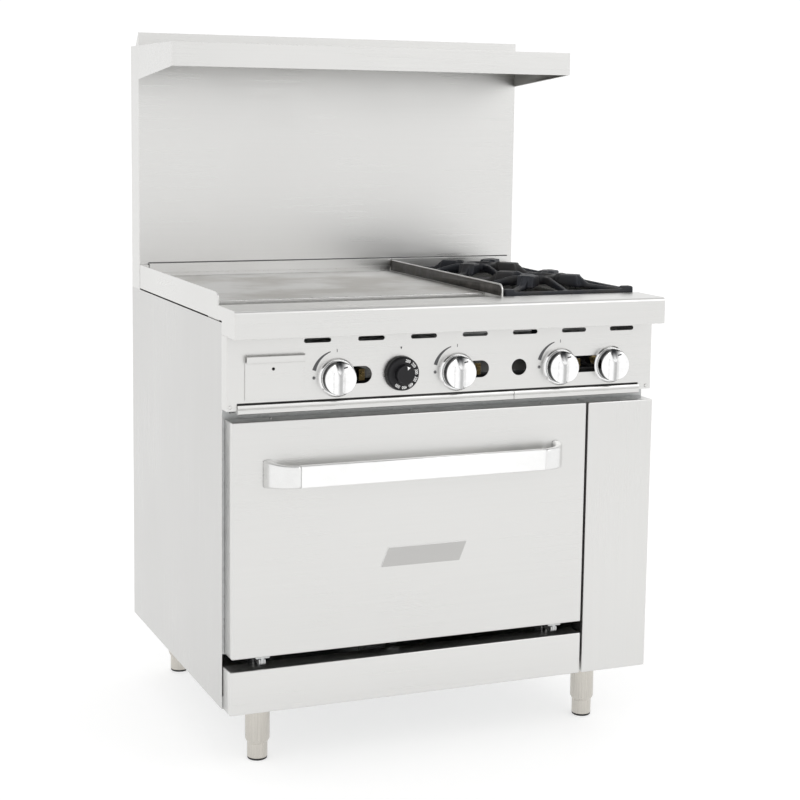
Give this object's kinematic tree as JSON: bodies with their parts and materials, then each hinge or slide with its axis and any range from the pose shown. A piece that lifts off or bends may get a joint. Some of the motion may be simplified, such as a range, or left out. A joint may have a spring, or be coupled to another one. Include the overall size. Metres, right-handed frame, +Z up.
{
  "type": "commercial gas range",
  "caption": "Free-standing commercial gas range: griddle, open burners with cast-iron grates, oven with a drop-down door, tall backguard with a high shelf, and adjustable legs.",
  "frame": {"origin": "on the floor, at the centre of the footprint (bottom centre of the bounding box)", "axes": "+Z up, +Y to the back (away from a person in front), +X to the right of a person in front"},
  "size_m": [0.9144, 0.798, 1.447],
  "materials": {
    "stainless": "fine horizontal brush, satin",
    "galvanised": "aluminised sheet, dull",
    "leg_steel": "turned, satin",
    "griddle_steel": "ground plate",
    "cast_iron": "black enamel on rough casting",
    "enamel": "porcelain enamel, dark with fine flecks",
    "wire_chrome": "plated wire",
    "knob_chrome": "polished chrome plate",
    "dial_black": "moulded, slightly glossy",
    "brass": "machined",
    "pipe_black": "black iron pipe",
    "tube_aluminium": "drawn tube",
    "handle_satin": "satin, bright",
    "handle_cast": "cast, satin",
    "insulation": "mineral wool",
    "screw_steel": "plated"
  },
  "bodies": {
    "root": {"backguard_front": "stainless", "backguard_shell": "stainless", "base_frame": "galvanised", "burner_supports": "galvanised", "burner_top_frame": "stainless", "burner_valves": "brass", "control_panel": "stainless", "flue_cap": "stainless", "front_frame": "galvanised", "front_rail": "stainless", "grease_trough": "stainless", "griddle_burners": "galvanised", "griddle_plate": "griddle_steel", "griddle_splash_guard": "stainless", "high_shelf": "stainless", "hinge_brackets": "galvanised", "kick_plate": "stainless", "knob_bezels": "knob_chrome", "left_side_panel": "stainless", "legs": "leg_steel", "manifold_pipe": "pipe_black", "open_burners": "cast_iron", "oven_bottom_deck": "enamel", "oven_burner": "galvanised", "oven_insulation": "insulation", "oven_liner": "enamel", "oven_safety_valve": "brass", "oven_supply_tube": "tube_aluminium", "oven_thermostat": "tube_aluminium", "panel_screws": "screw_steel", "pilot_burners": "brass", "rack_guides": "wire_chrome", "rear_panel": "galvanised", "rear_trim": "stainless", "right_pillar": "stainless", "right_side_panel": "stainless", "tray_runners": "galvanised"},
    "door": {"door_outer_skin": "stainless", "door_inner_panel": "stainless", "door_insulation": "insulation", "door_handle_bar": "handle_satin", "door_handle_brackets": "handle_cast", "door_hinge_arms": "galvanised", "door_screws": "screw_steel", "door_badge": "knob_chrome"},
    "knob_1": {"knob_1": "knob_chrome"},
    "knob_2": {"knob_2": "knob_chrome"},
    "knob_3": {"knob_3": "knob_chrome"},
    "knob_4": {"knob_4": "knob_chrome"},
    "thermostat_dial": {"thermostat_dial": "dial_black"},
    "grease_drawer": {"grease_drawer": "stainless"},
    "crumb_tray_left": {"crumb_tray_left": "stainless"},
    "crumb_tray_right": {"crumb_tray_right": "stainless"},
    "oven_rack": {"oven_rack": "wire_chrome"},
    "grate_front": {"grate_front": "cast_iron"},
    "grate_rear": {"grate_rear": "cast_iron"},
    "foot_front_left": {"foot_front_left": "leg_steel"},
    "foot_front_right": {"foot_front_right": "leg_steel"},
    "foot_rear_left": {"foot_rear_left": "leg_steel"},
    "foot_rear_right": {"foot_rear_right": "leg_steel"}
  },
  "joints": [
    {"name": "door_hinge", "type": "hinge", "parent": "root", "child": "door", "pos_m": [-0.074, -0.333, 0.23], "axis": [1, 0, 0], "range_deg": [0, 90]},
    {"name": "knob_1_turn", "type": "hinge", "parent": "root", "child": "knob_1", "pos_m": [-0.237, -0.331, 0.7755], "axis": [0, -1, 0], "range_deg": [0, 90]},
    {"name": "knob_2_turn", "type": "hinge", "parent": "root", "child": "knob_2", "pos_m": [0.016, -0.331, 0.7755], "axis": [0, -1, 0], "range_deg": [0, 90]},
    {"name": "knob_3_turn", "type": "hinge", "parent": "root", "child": "knob_3", "pos_m": [0.245, -0.331, 0.7755], "axis": [0, -1, 0], "range_deg": [0, 90]},
    {"name": "knob_4_turn", "type": "hinge", "parent": "root", "child": "knob_4", "pos_m": [0.361, -0.331, 0.7755], "axis": [0, -1, 0], "range_deg": [0, 90]},
    {"name": "thermostat_turn", "type": "hinge", "parent": "root", "child": "thermostat_dial", "pos_m": [-0.104, -0.331, 0.778], "axis": [0, -1, 0], "range_deg": [0, 300]},
    {"name": "grease_drawer_slide", "type": "slide", "parent": "root", "child": "grease_drawer", "axis": [0, -1, 0], "range_m": [0, 0.19]},
    {"name": "crumb_tray_left_slide", "type": "slide", "parent": "root", "child": "crumb_tray_left", "axis": [0, -1, 0], "range_m": [0, 0.5]},
    {"name": "crumb_tray_right_slide", "type": "slide", "parent": "root", "child": "crumb_tray_right", "axis": [0, -1, 0], "range_m": [0, 0.5]},
    {"name": "oven_rack_slide", "type": "slide", "parent": "root", "child": "oven_rack", "axis": [0, -1, 0], "range_m": [0, 0.04]},
    {"name": "grate_front_lift", "type": "slide", "parent": "root", "child": "grate_front", "axis": [0, 0, 1], "range_m": [0, 0.15]},
    {"name": "grate_rear_lift", "type": "slide", "parent": "root", "child": "grate_rear", "axis": [0, 0, 1], "range_m": [0, 0.15]},
    {"name": "foot_front_left_adjust", "type": "slide", "parent": "root", "child": "foot_front_left", "axis": [0, 0, -1], "range_m": [0, 0.025]},
    {"name": "foot_front_right_adjust", "type": "slide", "parent": "root", "child": "foot_front_right", "axis": [0, 0, -1], "range_m": [0, 0.025]},
    {"name": "foot_rear_left_adjust", "type": "slide", "parent": "root", "child": "foot_rear_left", "axis": [0, 0, -1], "range_m": [0, 0.025]},
    {"name": "foot_rear_right_adjust", "type": "slide", "parent": "root", "child": "foot_rear_right", "axis": [0, 0, -1], "range_m": [0, 0.025]}
  ]
}
